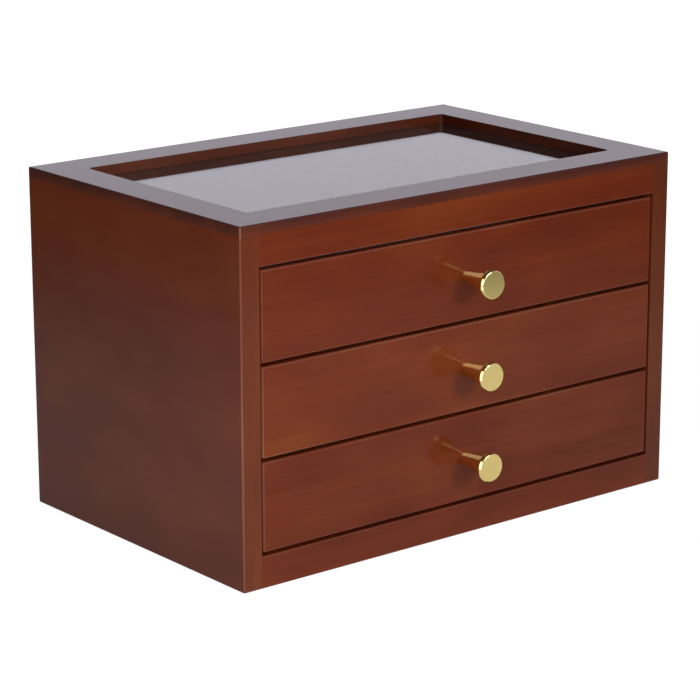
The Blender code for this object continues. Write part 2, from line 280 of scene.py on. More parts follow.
make_floor()
print("Floor:", floor_size, "m wide; reflections lose it", table_end, "m out")

# %% [markdown]
# ## The room
#
# The room is the world's colour. The camera sees it white, dull surfaces take a
# little even light from it, and reflections show white walls that end below a
# dark ceiling and in a dark corner behind the box, on its left. So rounded edges
# stay dark where they look up, and the plate and the glass turn a cool grey.

# %% Make the world
sky_tint = (0.81, 0.775, 0.88, 1.0)
sky_diffuse = 0.09
wall_rise = (0.40, 0.64)
ceiling = 0.10
dark_corner = (-0.62, 0.78, 0)
dark_corner_level = 0.25
dark_corner_reach = (0.5, 0.9)


def make_world():
    world = bpy.data.worlds.new("studio")
    bpy.context.scene.world = world
    world.use_nodes = True
    tree = world.node_tree
    camera_ray, mirror_ray = seen_directly(tree)
    direction = add(tree, "ShaderNodeTexCoord").outputs["Generated"]
    height = add(tree, "ShaderNodeSeparateXYZ", {0: direction}).outputs[2]
    walls = fade(tree, height, *wall_rise, 1, ceiling)
    ways = {0: direction, 1: dark_corner}
    cornerward = add(tree, "ShaderNodeVectorMath", ways, operation="DOT_PRODUCT").outputs["Value"]
    lit = multiply(tree, walls, fade(tree, cornerward, *dark_corner_reach, 1, dark_corner_level))
    mirrored = combine(tree, "SUBTRACT", lit, sky_diffuse)
    strength = combine(tree, "MULTIPLY_ADD", camera_ray, 1 - sky_diffuse, sky_diffuse)
    strength = combine(tree, "MULTIPLY_ADD", mirror_ray, mirrored, strength)
    background = tree.nodes["Background"]
    tree.links.new(blend(tree, mirror_ray, (1, 1, 1, 1), sky_tint), background.inputs["Color"])
    tree.links.new(strength, background.inputs["Strength"])


make_world()
print("Walls end", [round(math.degrees(math.asin(rise))) for rise in wall_rise], "degrees up")

# %% [markdown]
# ## Three soft lamps and three cards
#
# Three soft lamps light the box, and polished surfaces do not show them. The key
# lamp stands in front of the drawers and a little above them: it throws each
# knob's soft shadow just under its neck. A fill lamp close to the near corner
# keeps that end of the box brighter than the far ends. A lamp behind it, on the
# right, keeps the back and the far side from going black. Three bright cards
# light nothing and show only in the lacquer and the brass. The front card draws
# the pale line along the top of each knob's neck, the high card draws the
# reflection of that line in the lacquer, and the left card whitens the left side
# of each knob's head. The glass shows none of the six.

# %% Hang the lamps
lamps = {
    "key_lamp": {"place": (0.10, -1.74, 0.70), "size": (0.60, 0.40), "power": 14.0, "card": False},
    "front_card": {"place": (0.17, -1.55, 1.02), "size": (1.20, 0.60), "power": 34.0, "card": True},
    "high_card": {"place": (0.25, -1.20, 1.35), "size": (0.45, 0.35), "power": 4.0, "card": True},
    "fill_lamp": {"place": (-0.55, -0.55, 0.40), "size": (0.50, 0.50), "power": 3.2, "card": False},
    "back_lamp": {"place": (0.75, 1.15, 0.75), "size": (0.80, 0.80), "power": 5.0, "card": False},
    "left_card": {"place": (-0.90, -0.14, 0.36), "size": (0.50, 0.80), "power": 2.6, "card": True},
}
for name, lamp in lamps.items():
    light = bpy.data.lights.new(name, "AREA")
    light.shape = "RECTANGLE"
    light.size, light.size_y = lamp["size"]
    light.energy = lamp["power"]
    holder = bpy.data.objects.new(name, light)
    holder.location = lamp["place"]
    holder.rotation_euler = Vector(lamp["place"]).to_track_quat("Z", "Y").to_euler()
    holder.visible_diffuse = not lamp["card"]
    holder.visible_glossy = lamp["card"]
    holder.visible_transmission = False
    bpy.context.scene.collection.objects.link(holder)
print("Lamps:", ", ".join(lamps))

# %% [markdown]
# ## Stains and the patterns of the wood
#
# The boards are a pale, fine-grained wood under a reddish-brown stain and a
# clear satin lacquer. Three patterns drawn out along the grain make it: fine
# fibres, broad streaks of growth, and blotches where the stain sank in deeper.
# A stain is three tones, and the patterns choose between them.

# %% Choose the stains and patterns
GRAIN_TURNS = {"x": (0, 0, 0), "y": (0, 0, -math.pi / 2), "z": (0, math.pi / 2, 0)}

# One streak's size along and across the grain, how far it wanders, and how strongly it shows
WOOD_PATTERNS = {
    "fibres": {"along": 0.020, "across": 0.0007, "detail": 3.0, "wander": 0.0, "weight": 0.20},
    "growth": {"along": 0.200, "across": 0.0110, "detail": 3.0, "wander": 0.9, "weight": 0.30},
    "blotches": {"along": 0.095, "across": 0.0550, "detail": 2.0, "wander": 0.0, "weight": 0.60},
}

# Each stain's dark, middle and pale tone
RED_STAIN = ((0.095, 0.013, 0.0045), (0.150, 0.024, 0.0063), (0.200, 0.042, 0.0095))
BROWN_STAIN = ((0.105, 0.020, 0.0075), (0.150, 0.033, 0.0110), (0.190, 0.050, 0.0180))
DEEP_STAIN = ((0.050, 0.014, 0.0105), (0.085, 0.021, 0.0125), (0.130, 0.030, 0.0135))
INNER_STAIN = ((0.060, 0.012, 0.0050), (0.100, 0.022, 0.0090), (0.145, 0.040, 0.0170))
print("Patterns:", ", ".join(WOOD_PATTERNS))

# %% [markdown]
# ## Stained and lacquered wood
#
# Each board starts at its own place in the patterns, as if it were cut from
# another part of the plank. Along rounded edges the attribute `arris`, set while
# a board is modelled, lets a paler tone through: partly stain thinned by
# sanding, partly a painted highlight. The lacquer is the shader's own gloss, a
# little duller where the stain sank in, and the fibres stand up under it by two
# thousandths of a millimetre.

# %% Build a wood finish
# The paler tone of rounded edges: partly worn stain, partly a painted highlight
WORN_AND_HIGHLIGHT_TONE = (0.300, 0.125, 0.085, 1)
TONE_STOPS = (0.28, 0.5, 0.72)
LACQUER_GLOSS = 0.205
wear_and_highlight_swing = 0.8
satin_swing = 0.12
streak_roughness = 0.6
fibre_relief = 0.000002
sunk_at_foot = 0.14
sunk_at_top = -0.10
plank_step = (0.37, 0.61, 0.23)
board_count = 0


def drawn_out(tree, place, along, across, detail, wander):
    """Noise with streaks of this length and width, which wander by a share of that."""
    scale = (1 / along, 1 / across, 1 / across)
    stretched = add(tree, "ShaderNodeMapping", {"Vector": place, "Scale": scale})
    settings = {"Vector": stretched.outputs[0], "Scale": 1.0, "Roughness": streak_roughness}
    settings.update({"Detail": detail, "Distortion": wander})
    return add(tree, "ShaderNodeTexNoise", settings).outputs["Fac"]


def tuned(tree, pattern, weight, base):
    """The pattern's swing about one half, times a weight, added to a base."""
    swing = combine(tree, "SUBTRACT", pattern, 0.5)
    return combine(tree, "MULTIPLY_ADD", swing, weight, base)


def board_tone(tree, coordinates, grain, streaks):
    """The tone of a board about one half, and the patterns that make it."""
    start = [part * board_count for part in plank_step]
    settings = {"Vector": coordinates, "Rotation": GRAIN_TURNS[grain], "Location": start}
    place = add(tree, "ShaderNodeMapping", settings).outputs[0]
    tone = 0.5
    made = {}
    for pattern, sizes in WOOD_PATTERNS.items():
        given = [sizes[size] for size in ("along", "across", "detail", "wander")]
        made[pattern] = drawn_out(tree, place, *given)
        weight = sizes["weight"] * (1 if pattern == "blotches" else streaks)
        tone = tuned(tree, made[pattern], weight, tone)
    return tone, made


def deepened(tree, coordinates, tone):
    """The tone of the plate's edge, where the stain sinks in more towards the top."""
    height = add(tree, "ShaderNodeSeparateXYZ", {0: coordinates}).outputs[2]
    rise = slope(tree, height, walls_top, case_top, sunk_at_foot, sunk_at_top)
    return combine(tree, "ADD", tone, rise)


def wood(
    name,
    grain,
    stain=RED_STAIN,
    roughness=0.17,
    wear_and_highlight=0.4,
    shade=1.0,
    streaks=1.0,
    gloss=LACQUER_GLOSS,
    sunk=False,
):
    """A stained board with its grain along x, y or z.

    Shade darkens the stain, and streaks weakens the lines along the grain.
    """
    global board_count
    board_count += 1
    material, tree, shader = new_finish(name, roughness)
    shader.inputs["Specular IOR Level"].default_value = gloss
    coordinates = add(tree, "ShaderNodeTexCoord").outputs["Object"]
    tone, made = board_tone(tree, coordinates, grain, streaks)
    if sunk:
        tone = deepened(tree, coordinates, tone)
    ramp = add(tree, "ShaderNodeValToRGB", {"Fac": tone})
    ramp.color_ramp.elements[0].position = TONE_STOPS[0]
    ramp.color_ramp.elements[1].position = TONE_STOPS[2]
    ramp.color_ramp.elements.new(TONE_STOPS[1])
    for stop, colour in zip(ramp.color_ramp.elements, stain):
        stop.color = (*(shade * part for part in colour), 1)
    # On rounded edges: partly worn stain, partly a painted highlight
    arris = add(tree, "ShaderNodeAttribute", attribute_name="arris").outputs["Fac"]
    worn_and_highlit = multiply(tree, arris, tuned(tree, made["blotches"], wear_and_highlight_swing, wear_and_highlight))
    colour = blend(tree, worn_and_highlit, ramp.outputs["Color"], WORN_AND_HIGHLIGHT_TONE)
    tree.links.new(colour, shader.inputs["Base Color"])
    satin = tuned(tree, made["blotches"], satin_swing, roughness)
    tree.links.new(satin, shader.inputs["Roughness"])
    raise_relief(tree, shader, made["fibres"], strength=1.0, height=fibre_relief)
    return material


print("Lacquer's gloss:", LACQUER_GLOSS)

# %% [markdown]
# ## Boards with rounded edges
#
# A board is a cube stretched between two corners, and only the edges that are
# named get rounded. An edge is named by the two faces that meet there, such as
# front and top. The rounding is a true bevel in the mesh, because a highlight
# has to run along it from every side. A Weighted Normal modifier then keeps the
# flat faces flat next to the curve.

# %% Model a board
SIDES = {"left": -1, "right": 1}
FACES = (("left", "right"), ("front", "back"), ("bottom", "top"))
FRONT_EDGES = [("front", "left"), ("front", "right"), ("front", "bottom"), ("front", "top")]
ALONG_EDGES = [("left", "bottom"), ("left", "top"), ("right", "bottom"), ("right", "top")]
sharp_angle = math.radians(35)


def finish_piece(name, mesh, material, body, stands_for=(), place=None):
    """Puts a mesh in the scene as a piece that rides on a body and stands for nodes."""
    piece = bpy.data.objects.new(name, mesh)
    piece.matrix_world = place or Matrix()
    mesh.materials.append(material)
    bpy.context.scene.collection.objects.link(piece)
    mesh.shade_smooth()
    mesh.set_sharp_from_angle(angle=sharp_angle)
    piece.modifiers.new("even shading", "WEIGHTED_NORMAL").keep_sharp = True
    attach(piece, body)
    if stands_for:
        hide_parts(*stands_for)
    return piece


def mark_arris(form, low, high, edges, radius):
    """Marks the points on a rounding: those that left both faces that met at its edge."""
    layer = form.verts.layers.float.get("arris") or form.verts.layers.float.new("arris")
    planes = {}
    for axis, (first, last) in enumerate(FACES):
        planes[first] = (axis, low[axis])
        planes[last] = (axis, high[axis])
    nearly_none = radius / 50
    for vert in form.verts:
        for edge in edges:
            met = [planes[face] for face in edge]
            depths = [abs(vert.co[axis] - level) for axis, level in met]
            if all(nearly_none < depth < radius for depth in depths):
                vert[layer] = 1.0


def board_mesh(name, low, high, rounded=(), radius=case_edge_radius, segments=4, eased=()):
    """A board between two corners, with some edges rounded and others just eased."""
    low, high = Vector(low), Vector(high)
    form = bmesh.new()
    bmesh.ops.create_cube(form, size=1)
    meeting = {}
    for edge in form.edges:
        middle = edge.verts[0].co + edge.verts[1].co
        meeting[edge] = {FACES[axis][middle[axis] > 0] for axis in range(3) if middle[axis]}
    bmesh.ops.scale(form, vec=high - low, verts=form.verts)
    bmesh.ops.translate(form, vec=(low + high) / 2, verts=form.verts)
    groups = []
    for named, size in ((rounded, radius), (eased, inner_edge_radius)):
        chosen = [set(edge) for edge in named]
        groups.append(([edge for edge, faces in meeting.items() if faces in chosen], named, size))
    for edges, named, size in groups:
        if edges:
            bmesh.ops.bevel(
                form,
                geom=edges,
                offset=size,
                segments=segments,
                profile=0.5,
                affect="EDGES",
            )
            mark_arris(form, low, high, named, size)
    mesh = bpy.data.meshes.new(name)
    form.to_mesh(mesh)
    form.free()
    return mesh


def cut_away(mesh, cutters):
    """The mesh with each cutter's volume taken out of it."""
    piece = bpy.data.objects.new(mesh.name, mesh)
    bpy.context.scene.collection.objects.link(piece)
    helpers = []
    for cutter in cutters:
        helper = bpy.data.objects.new(cutter.name, cutter)
        bpy.context.scene.collection.objects.link(helper)
        hollow = piece.modifiers.new(cutter.name, "BOOLEAN")
        hollow.operation = "DIFFERENCE"
        hollow.solver = "EXACT"
        hollow.object = helper
        helpers.append(helper)
    graph = bpy.context.evaluated_depsgraph_get()
    result = bpy.data.meshes.new_from_object(piece.evaluated_get(graph))
    for thing in [piece, *helpers]:
        bpy.data.objects.remove(thing)
    return result


print("Edges of the case are rounded to", 1000 * case_edge_radius, "mm")

# %% [markdown]
# ## The side panels
#
# The side panels run the full depth, and their front edges stand beside the
# drawers as stiles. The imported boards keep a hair's width apart where they are
# glued, and on the real box the lacquer closes those joints. So each board here
# reaches its neighbour. A rabbet along the back of each side panel takes the
# back. The faces turned to the front get a browner wood of their own, with its
# grain upright.

# %% Build the side panels
front_facing = -0.8
# The right stile's wood is darkened: painted shade for the far end of the front, which gets less light
stile_painted_shades = {"left": 1.0, "right": 0.8}
for side, sign in SIDES.items():
    name = f"side_panel_{side}"
    low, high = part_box(name)
    outer = [(side, "front"), (side, "back"), (side, "bottom"), ("front", "bottom"), ("back", "bottom")]
    panel = board_mesh(f"finished_{name}", low, high, outer)
    low_x, high_x = sorted((sign * back_high.x, sign * (inner_side - overrun)))
    rabbet_low = (low_x, back_low.y, low.z - overrun)
    rabbet = board_mesh("rabbet", rabbet_low, (high_x, high.y + overrun, high.z + overrun))
    panel = cut_away(panel, [rabbet])
    for face in panel.polygons:
        face.material_index = int(face.normal.y < front_facing)
    face_wood = wood(f"side_panel_wood_{side}", "y", streaks=0.5)
    piece = finish_piece(f"finished_{name}", panel, face_wood, "case", [name])
    stile_wood = wood(f"stile_wood_{side}", "z", BROWN_STAIN, shade=stile_painted_shades[side])
    piece.data.materials.append(stile_wood)
print("Side panels:", len(SIDES))

# %% [markdown]
# ## The rails, the back and the base
#
# The rails close the front above and below the drawers. Their long edges next to
# a drawer are just eased, and the foot of the box is rounded. The base board
# lies inside, where only an open drawer shows it, so it is left plain.

# %% Build the rails, the back and the base
rails = {
    "top": {"rounded": [], "eased": [("front", "bottom")]},
    "bottom": {"rounded": [("front", "bottom")], "eased": [("front", "top")]},
}
for height, edges in rails.items():
    name = f"front_rail_{height}"
    low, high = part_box(name)
    low.x, high.x = -inner_side, inner_side
    if height == "top":
        high.z = walls_top
    rail = board_mesh(f"finished_{name}", low, high, edges["rounded"], eased=edges["eased"])
    rail_wood = wood(f"rail_wood_{height}", "x")
    finish_piece(f"finished_{name}", rail, rail_wood, "case", [name])

low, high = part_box("back_panel")
back_board = board_mesh("finished_back_panel", low, high, [("back", "bottom")])
back_wood = wood("back_panel_wood", "x")
finish_piece("finished_back_panel", back_board, back_wood, "case", ["back_panel"])

base_low = (-inner_side, rail_high.y, case_bottom)
base_high = (inner_side, back_low.y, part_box("base_board")[1].z)
base = board_mesh("finished_base_board", base_low, base_high)
base_wood = wood("base_board_wood", "x", INNER_STAIN, roughness=0.45)
finish_piece("finished_base_board", base, base_wood, "case", ["base_board"])
print("Rails:", len(rails), "with a back and a base")

# %% [markdown]
# ## The top plate with its window
#
# The plate is one 5 mm board with a window cut through it, whose corners are
# rounded as a cutter leaves them. It is built as a ring: a loop of points is
# carried round the section of the rim, from the outer wall over the rounded
# edge and the flat top down into the window. That gives even, true roundings
# at both edges.

# %% Draw a loop of the plate
corner_steps = 6


def corner_loop(form, inset, radius, z, window=False):
    """Points round a rectangle with rounded corners, at a height."""
    half_x = (window_half_width if window else case_side) - inset
    low_y = (window_front if window else case_front) + inset
    high_y = (window_back if window else case_back) - inset
    corners = ((half_x, high_y, 0), (-half_x, high_y, 1), (-half_x, low_y, 2), (half_x, low_y, 3))
    loop = []
    for x, y, quarter in corners:
        centre_x = x - math.copysign(radius, x)
        centre_y = y - (radius if quarter < 2 else -radius)
        for step in range(corner_steps + 1):
            angle = (quarter + step / corner_steps) * math.pi / 2
            point = (centre_x + radius * math.cos(angle), centre_y + radius * math.sin(angle), z)
            loop.append(form.verts.new(point))
    return loop


print("Points in a loop:", 4 * (corner_steps + 1))

# %% [markdown]
# ## The plate's section and its finishes
#
# The outer wall is the board's own edge, where the stain sinks in and turns
# darker. The window's walls are cut by a router and left duller, and the end
# grain on its left and right gets the darkest wood, which paints the shade deep
# in the recess. So the plate wears four woods, and each face is told which by
# where it looks.

# %% Build the top plate
PLATE_GLOSS = 0.50
ease_steps = 4
flat_normal = 0.97


def choose_wood(face):
    """The wood that a face of the plate wears: flat, outer edge, long wall or end wall."""
    if abs(face.normal.z) >= flat_normal:
        return 0
    centre = face.calc_center_median()
    rim = case_edge_radius / 2
    between_sides = abs(centre.x) <= case_side - rim
    if not (between_sides and case_front + rim < centre.y < case_back - rim):
        return 1
    return 2 if abs(face.normal.y) > abs(face.normal.x) else 3


def plate_mesh():
    form = bmesh.new()
    arris = form.verts.layers.float.new("arris")
    rim = [corner_loop(form, 0, case_edge_radius, walls_top)]
    for step in range(ease_steps + 1):
        turn = step / ease_steps * math.pi / 2
        inset = case_edge_radius * (1 - math.cos(turn))
        height = case_top - case_edge_radius * (1 - math.sin(turn))
        rim.append(corner_loop(form, inset, case_edge_radius - inset, height))
    window = []
    for step in range(ease_steps + 1):
        turn = step / ease_steps * math.pi / 2
        inset = window_ease * (math.sin(turn) - 1)
        height = case_top - window_ease * (1 - math.cos(turn))
        window.append(corner_loop(form, inset, window_corner_radius - inset, height, window=True))
    window.append(corner_loop(form, 0, window_corner_radius, walls_top, window=True))
    # The plate's upright corners get the paler edge tone too: worn stain and a painted highlight
    for loop in rim[:2]:
        for index, vert in enumerate(loop):
            vert[arris] = float(0 < index % (corner_steps + 1) < corner_steps)
    loops = rim + window
    for loop, following in zip(loops, loops[1:] + loops[:1]):
        for index in range(len(loop)):
            after = (index + 1) % len(loop)
            form.faces.new((loop[index], loop[after], following[after], following[index]))
    bmesh.ops.remove_doubles(form, verts=form.verts, dist=glue_gap / 100)
    bmesh.ops.recalc_face_normals(form, faces=form.faces)
    for face in form.faces:
        face.material_index = choose_wood(face)
    mesh = bpy.data.meshes.new("finished_top_plate")
    form.to_mesh(mesh)
    form.free()
    return mesh


# The plate's wood is darkened to 0.55 of its stain: painted shade for the top, which takes less light
# than the fronts
plate_wood = wood("top_plate_wood", "x", wear_and_highlight=0, shade=0.55, streaks=0.6, gloss=PLATE_GLOSS)
plate = finish_piece("finished_top_plate", plate_mesh(), plate_wood, "case", ["top_frame"])
plate.data.materials.append(wood("plate_edge_wood", "x", DEEP_STAIN, wear_and_highlight=0.6, sunk=True))
plate.data.materials.append(wood("window_wall_wood", "x", BROWN_STAIN, wear_and_highlight=0, shade=0.60))
# The end walls: a darker copy of the top's stain, painted shade in the window's recess
plate.data.materials.append(wood("window_end_shaded_wood", "x", RED_STAIN, wear_and_highlight=0, shade=0.45))
print("Top plate:", len(plate.data.vertices), "points")

# %% [markdown]
# ## The glass and the beads under it
#
# The pane is 2 mm of clear glass with ground edges. From the photograph's low
# angle it mirrors the white studio. Seen from above, it shows the top drawer.
# The beads that hold it are dark inner wood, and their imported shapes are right
# as they are. A pane that nobody has wiped carries a thin film of dust, which
# scatters a little of the lamps' light, so the dark reflection of the window's
# wall turns greyish. Here it is a small share of plain white in the glass. A few
# coarse specks are dots where the glass is rough.

# %% Fit the glass
glass_ease = 0.0004
glass_tint = (0.93, 0.96, 0.95, 1)
glass_index = 1.52
dust_share = 0.012
smear_lumps = 18.0
smear_reach = (0.5, 0.8)
smear_roughness = (0.004, 0.03)
speck_roughness = 0.3
speck_spacing = 0.032
speck_radius = 0.00018


def make_glass():
    material, tree, shader = new_finish("clear_glass", 0.01)
    shader.inputs["Base Color"].default_value = glass_tint
    shader.inputs["Transmission Weight"].default_value = 1 - dust_share
    shader.inputs["IOR"].default_value = glass_index
    place = add(tree, "ShaderNodeTexCoord").outputs["Object"]
    smears = noise(tree, place, smear_lumps, detail=3.0)
    film = slope(tree, smears, *smear_reach, *smear_roughness)
    settings = {"Vector": place, "Scale": 1 / speck_spacing}
    cells = add(tree, "ShaderNodeTexVoronoi", settings, voronoi_dimensions="2D")
    radius = speck_radius / speck_spacing
    specks = fade(tree, cells.outputs["Distance"], radius, 2 * radius, speck_roughness, 0)
    tree.links.new(combine(tree, "MAXIMUM", film, specks), shader.inputs["Roughness"])
    low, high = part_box("glass_pane")
    edges = [(a, b) for a in FACES[0] + FACES[1] for b in FACES[2]]
    pane = board_mesh("finished_glass_pane", low, high, edges, glass_ease, segments=1)
    return finish_piece("finished_glass_pane", pane, material, "case", ["glass_pane"])


def refinish(name, material):
    """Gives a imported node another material."""
    mesh = nodes[name].data
    mesh.materials.clear()
    mesh.materials.append(material)


make_glass()
bead_grains = {"front": "x", "back": "x", "left": "y", "right": "y"}
for end, grain in bead_grains.items():
    bead_wood = wood(f"bead_wood_{end}", grain, DEEP_STAIN, roughness=0.4, wear_and_highlight=0, shade=0.6)
    refinish(f"glazing_bead_{end}", bead_wood)
print("Beads:", len(bead_grains))

# %% [markdown]
# ## The drawer boxes
#
# A front is a thick board with all its show edges rounded. At the back it is
# cut away at either end, where the sides are lapped and glued to it, and bored
# for the screw that holds the knob. It is rounded first and cut afterwards, as
# on the real box, so the laps and the bore keep their sharp edges.

# %% Build the drawer fronts
screw_bore_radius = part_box("drawer_top_knob_screw")[1].x + glue_gap
screw_head_height = 0.0024


def round_mesh(name, start, end, radius, steps=48):
    """A round bar from one point to another."""
    start, end = Vector(start), Vector(end)
    form = bmesh.new()
    turn = (end - start).to_track_quat("Z", "Y").to_matrix().to_4x4()
    bmesh.ops.create_cone(
        form,
        cap_ends=True,
        segments=steps,
        radius1=radius,
        radius2=radius,
        depth=(end - start).length,
        matrix=Matrix.Translation((start + end) / 2) @ turn,
    )
    mesh = bpy.data.meshes.new(name)
    form.to_mesh(mesh)
    form.free()
    return mesh


def make_front(drawer):
    name = f"drawer_{drawer}_front"
    low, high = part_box(name)
    side_low, side_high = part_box(f"drawer_{drawer}_side_left")
    screw_low, screw_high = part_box(f"drawer_{drawer}_knob_screw")
    centre_z = (screw_low.z + screw_high.z) / 2
    edges = FRONT_EDGES + ALONG_EDGES
    front = board_mesh(name, low, high, edges, front_edge_radius, segments=5)
    bore_start = (0, screw_high.y - screw_head_height, centre_z)
    bore_end = (0, high.y + overrun, centre_z)
    cutters = [round_mesh("bore", bore_start, bore_end, screw_bore_radius)]
    for side, sign in SIDES.items():
        low_x, high_x = sorted((sign * -side_high.x, sign * (high.x + overrun)))
        lap_low = (low_x, side_low.y, low.z - overrun)
        lap_high = (high_x, high.y + overrun, high.z + overrun)
        cutters.append(board_mesh(f"lap_{side}", lap_low, lap_high))
    return finish_piece(
        f"finished_{name}",
        cut_away(front, cutters),
        wood(f"drawer_front_wood_{drawer}", "x", roughness=0.15, wear_and_highlight=0.2, shade=0.95),
        f"drawer_{drawer}",
        [name],
    )


print("Bore for the screws:", round(2000 * screw_bore_radius, 1), "mm across")

# %% [markdown]
# ## The backs and sides of the drawers
#
# The backs are modelled again, to reach the sides and the bottoms. The sides,
# with their grooves for the runners, are right as packed, and so are the
# runners and the bottoms, so they only get their wood.

# %% Build the drawers
back_edge_radius = 0.0008


def make_drawer_back(drawer):
    name = f"drawer_{drawer}_back"
    low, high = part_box(name)
    inner_half = -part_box(f"drawer_{drawer}_side_left")[1].x
    low.x, high.x = -inner_half, inner_half
    low.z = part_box(f"drawer_{drawer}_bottom")[1].z
    edges = [("front", "top"), ("back", "top")]
    mesh = board_mesh(f"finished_{name}", low, high, edges, back_edge_radius)
    material = wood(f"drawer_back_wood_{drawer}", "x", INNER_STAIN, roughness=0.4, wear_and_highlight=0.3)
    return finish_piece(f"finished_{name}", mesh, material, f"drawer_{drawer}", [name])


for drawer in drawer_levels:
    make_front(drawer)
    make_drawer_back(drawer)
    for side in SIDES:
        side_wood = wood(f"drawer_side_wood_{drawer}_{side}", "y", INNER_STAIN, roughness=0.4, wear_and_highlight=0)
        refinish(f"drawer_{drawer}_side_{side}", side_wood)
        runner_wood = wood(f"runner_wood_{drawer}_{side}", "y", INNER_STAIN, roughness=0.5, wear_and_highlight=0)
        refinish(f"runner_{drawer}_{side}", runner_wood)
    bottom_wood = wood(f"drawer_bottom_wood_{drawer}", "x", INNER_STAIN, roughness=0.55, wear_and_highlight=0)
    refinish(f"drawer_{drawer}_bottom", bottom_wood)
print("Drawers:", len(drawer_levels))

# %% [markdown]
# ## Black flock
#
# The drawer floors and the dividers are stiff card covered with black flock: a
# coat of tiny upright fibres that swallows light and glows faintly at the rim.
# Sheen gives that rim, and fine noise breaks up the surface.

# %% Line the drawers
FLOCK_TONES = ((0.008, 0.008, 0.009, 1), (0.026, 0.026, 0.029, 1))
nap_lumps = 2500.0
nap_swing = 0.9
nap_relief = 0.0001
brushed_lumps = 45.0
brushed_swing = 0.6
card_edge_radius = 0.0005


def make_flock():
    material, tree, shader = new_finish("flocked_card", 0.95)
    shader.inputs["Sheen Weight"].default_value = 0.04
    shader.inputs["Sheen Roughness"].default_value = 0.4
    shader.inputs["Specular IOR Level"].default_value = 0
    place = add(tree, "ShaderNodeTexCoord").outputs["Object"]
    nap = noise(tree, place, nap_lumps, detail=2.0)
    brushed = noise(tree, place, brushed_lumps, detail=3.0)
    tone = tuned(tree, brushed, brushed_swing, tuned(tree, nap, nap_swing, 0.5))
    tree.links.new(blend(tree, tone, *FLOCK_TONES), shader.inputs["Base Color"])
    raise_relief(tree, shader, nap, strength=0.6, height=nap_relief)
    return material


flock = make_flock()
for drawer in drawer_levels:
    name = f"drawer_{drawer}_lining"
    low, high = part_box(name)
    edges = [(a, "top") for a in FACES[0] + FACES[1]]
    mesh = board_mesh(f"finished_{name}", low, high, edges, card_edge_radius, segments=3)
    finish_piece(f"finished_{name}", mesh, flock, f"drawer_{drawer}", [name])
print("Linings:", len(drawer_levels))

# %% [markdown]
# ## The dividers
#
# The top drawer is split into six cells by one long divider and two that cross
# it. They are halved together: the long one is slotted from above and the cross
# ones from below, each to half its height. Their top edges are well rounded,
# because the flock goes over them.

# %% Halve the dividers together
crossing = ("divider_cross_left", "divider_cross_right")
long_low, long_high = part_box("divider_long")
lap_z = (long_low.z + long_high.z) / 2
for name in ("divider_long", *crossing):
    low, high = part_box(name)
    slots = []
    if name == "divider_long":
        edges = [("front", "top"), ("back", "top")]
        for other in crossing:
            cross_low, cross_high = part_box(other)
            slot_low = (cross_low.x, low.y - overrun, lap_z)
            slot_high = (cross_high.x, high.y + overrun, high.z + overrun)
            slots.append(board_mesh("slot", slot_low, slot_high))
    else:
        edges = [("left", "top"), ("right", "top")]
        slot_low = (low.x - overrun, long_low.y, low.z - overrun)
        slots.append(board_mesh("slot", slot_low, (high.x + overrun, long_high.y, lap_z)))
    mesh = board_mesh(f"finished_{name}", low, high, edges, card_edge_radius * 2)
    mesh = cut_away(mesh, slots)
    finish_piece(f"finished_{name}", mesh, flock, "drawer_top", [name])
print("Dividers:", 1 + len(crossing))

# %% [markdown]
# ## Turned brass knobs
#
# Each knob is turned from light brass: a disc that narrows towards its flat
# face, on a neck that narrows towards the drawer. A lathe is the simplest way to
# model it too. A section is drawn once, with each corner eased by a small arc,
# and spun round the axis.

# %% Turn a section on the lathe
turning_steps = 96
merge_distance = 1e-7


def ease_corners(corners, steps=6):
    """A profile of (radius, height, ease) corners, each rounded by an arc of its ease."""
    points = []
    for index, (radius, height, ease) in enumerate(corners):
        here = Vector((radius, height))
        if not ease:
            points.append(here)
            continue
        before = Vector(corners[index - 1][:2])
        after = Vector(corners[index + 1][:2])
        start = here + (before - here).normalized() * ease
        end = here + (after - here).normalized() * ease
        for step in range(steps + 1):
            share = step / steps
            rest = 1 - share
            points.append(rest ** 2 * start + 2 * share * rest * here + share ** 2 * end)
    return points


def turned_mesh(name, profile, steps=turning_steps):
    """A profile of (radius, height) points spun about Z."""
    form = bmesh.new()
    verts = [form.verts.new((radius, 0, height)) for radius, height in profile]
    edges = [form.edges.new(pair) for pair in zip(verts, verts[1:])]
    bmesh.ops.spin(
        form,
        geom=verts + edges,
        cent=(0, 0, 0),
        axis=(0, 0, 1),
        angle=2 * math.pi,
        steps=steps,
        use_merge=True,
    )
    bmesh.ops.remove_doubles(form, verts=form.verts, dist=merge_distance)
    bmesh.ops.recalc_face_normals(form, faces=form.faces)
    mesh = bpy.data.meshes.new(name)
    form.to_mesh(mesh)
    form.free()
    return mesh


print("A turned piece has", turning_steps, "facets round")

# %% [markdown]
# ## Brass fresh from the lathe
#
# The lathe leaves rings finer than the eye follows, which stretch every
# highlight a little. So a pattern of the distance from the axis drives the
# relief, and not one that lies flat across the metal. A faint cloud in colour
# and polish keeps the face from looking like paint.

# %% Mix the brass
BRASS_TONES = ((0.93, 0.72, 0.26, 1), (0.98, 0.79, 0.33, 1))
brass_roughness = 0.09
cloud_lumps = 260.0
cloud_swing = 0.06
ring_lumps = 5000.0
ring_relief = 0.000008


